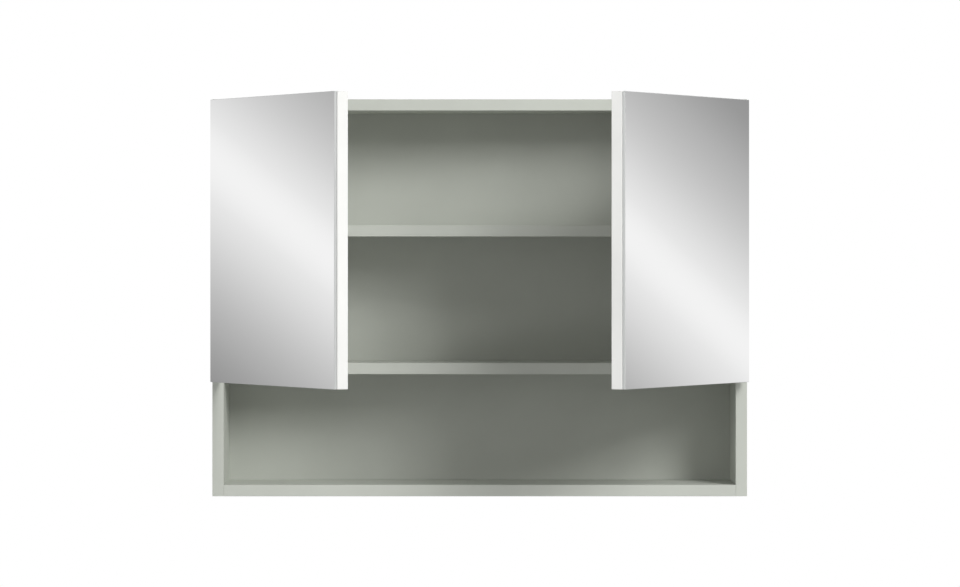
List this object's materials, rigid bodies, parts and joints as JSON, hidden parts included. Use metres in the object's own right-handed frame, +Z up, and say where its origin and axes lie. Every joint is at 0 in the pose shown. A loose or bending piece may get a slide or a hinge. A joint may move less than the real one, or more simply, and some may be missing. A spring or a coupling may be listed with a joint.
{
  "type": "mirror cabinet",
  "caption": "Wall-hung bathroom cabinet with mirrored doors on concealed four-bar hinges, an adjustable inner shelf, an open lower niche and hidden wall hangers",
  "frame": {"origin": "on the wall plane, at the middle of the carcass's lower rear edge", "axes": "+Z up, +Y from the front of the cabinet into the wall, +X to the right of someone facing the cabinet"},
  "size_m": [0.8036, 0.5247, 0.594],
  "materials": {
    "carcass": "matt sage-grey laminate on particle board",
    "back": "matt sage-grey foil on thin fibreboard",
    "dowel": "plain beech",
    "door": "satin off-white laminate",
    "film": "grey safety and bonding film behind the glass",
    "mirror": "silvered float glass with ground edges",
    "bumper": "soft clear plastic",
    "hinge_steel": "nickel-plated pressed steel",
    "hook_steel": "zinc-plated steel",
    "hanger_plastic": "white moulded plastic"
  },
  "bodies": {
    "carcass": {"left_side_panel": "carcass", "right_side_panel": "carcass", "top_panel": "carcass", "bottom_panel": "carcass", "compartment_floor": "carcass", "adjustable_shelf": "carcass", "back_panel": "back", "dowel_top_left_front": "dowel", "dowel_top_left_rear": "dowel", "dowel_top_right_front": "dowel", "dowel_top_right_rear": "dowel", "dowel_floor_left_front": "dowel", "dowel_floor_left_rear": "dowel", "dowel_floor_right_front": "dowel", "dowel_floor_right_rear": "dowel", "dowel_bottom_left_front": "dowel", "dowel_bottom_left_rear": "dowel", "dowel_bottom_right_front": "dowel", "dowel_bottom_right_rear": "dowel", "shelf_pin_left_front": "hinge_steel", "shelf_pin_left_rear": "hinge_steel", "shelf_pin_right_front": "hinge_steel", "shelf_pin_right_rear": "hinge_steel", "left_hanger_housing": "hanger_plastic", "right_hanger_housing": "hanger_plastic", "left_hanger_hook": "hook_steel", "right_hanger_hook": "hook_steel", "left_upper_hinge_plate": "hinge_steel", "left_upper_hinge_arm": "hinge_steel", "left_lower_hinge_plate": "hinge_steel", "left_lower_hinge_arm": "hinge_steel", "right_upper_hinge_plate": "hinge_steel", "right_upper_hinge_arm": "hinge_steel", "right_lower_hinge_plate": "hinge_steel", "right_lower_hinge_arm": "hinge_steel"},
    "left_long_links": {"left_upper_long_link": "hinge_steel", "left_lower_long_link": "hinge_steel"},
    "left_short_links": {"left_upper_short_link": "hinge_steel", "left_lower_short_link": "hinge_steel"},
    "left_door": {"left_door_panel": "door", "left_mirror_film": "film", "left_mirror": "mirror", "left_upper_bumper": "bumper", "left_lower_bumper": "bumper", "left_upper_hinge_cup": "hinge_steel", "left_lower_hinge_cup": "hinge_steel"},
    "right_long_links": {"right_upper_long_link": "hinge_steel", "right_lower_long_link": "hinge_steel"},
    "right_short_links": {"right_upper_short_link": "hinge_steel", "right_lower_short_link": "hinge_steel"},
    "right_door": {"right_door_panel": "door", "right_mirror_film": "film", "right_mirror": "mirror", "right_upper_bumper": "bumper", "right_lower_bumper": "bumper", "right_upper_hinge_cup": "hinge_steel", "right_lower_hinge_cup": "hinge_steel"}
  },
  "joints": [
    {"name": "left_hinge_swing", "type": "hinge", "parent": "carcass", "child": "left_long_links", "pos_m": [-0.3531, -0.1544, 0.382], "axis": [0, 0, 1], "range_deg": [-24.08, 13.92]},
    {"name": "left_door_turn", "type": "hinge", "parent": "left_long_links", "child": "left_door", "pos_m": [-0.3797, -0.17943, 0.382], "axis": [0, 0, -1], "range_deg": [-84.28, 48.72]},
    {"name": "left_short_link_swing", "type": "hinge", "parent": "carcass", "child": "left_short_links", "pos_m": [-0.3651, -0.1676, 0.382], "axis": [0, 0, 1], "range_deg": [-34.92, 20.19]},
    {"name": "right_hinge_swing", "type": "hinge", "parent": "carcass", "child": "right_long_links", "pos_m": [0.3531, -0.1544, 0.382], "axis": [0, 0, -1], "range_deg": [-24.08, 13.92]},
    {"name": "right_door_turn", "type": "hinge", "parent": "right_long_links", "child": "right_door", "pos_m": [0.3797, -0.17943, 0.382], "axis": [0, 0, 1], "range_deg": [-84.28, 48.72]},
    {"name": "right_short_link_swing", "type": "hinge", "parent": "carcass", "child": "right_short_links", "pos_m": [0.3651, -0.1676, 0.382], "axis": [0, 0, -1], "range_deg": [-34.92, 20.19]}
  ],
  "couplings": [
    {"joint": "left_door_turn", "follows": "left_hinge_swing", "ratio": 3.5},
    {"joint": "left_short_link_swing", "follows": "left_hinge_swing", "ratio": 1.45},
    {"joint": "right_door_turn", "follows": "right_hinge_swing", "ratio": 3.5},
    {"joint": "right_short_link_swing", "follows": "right_hinge_swing", "ratio": 1.45}
  ]
}
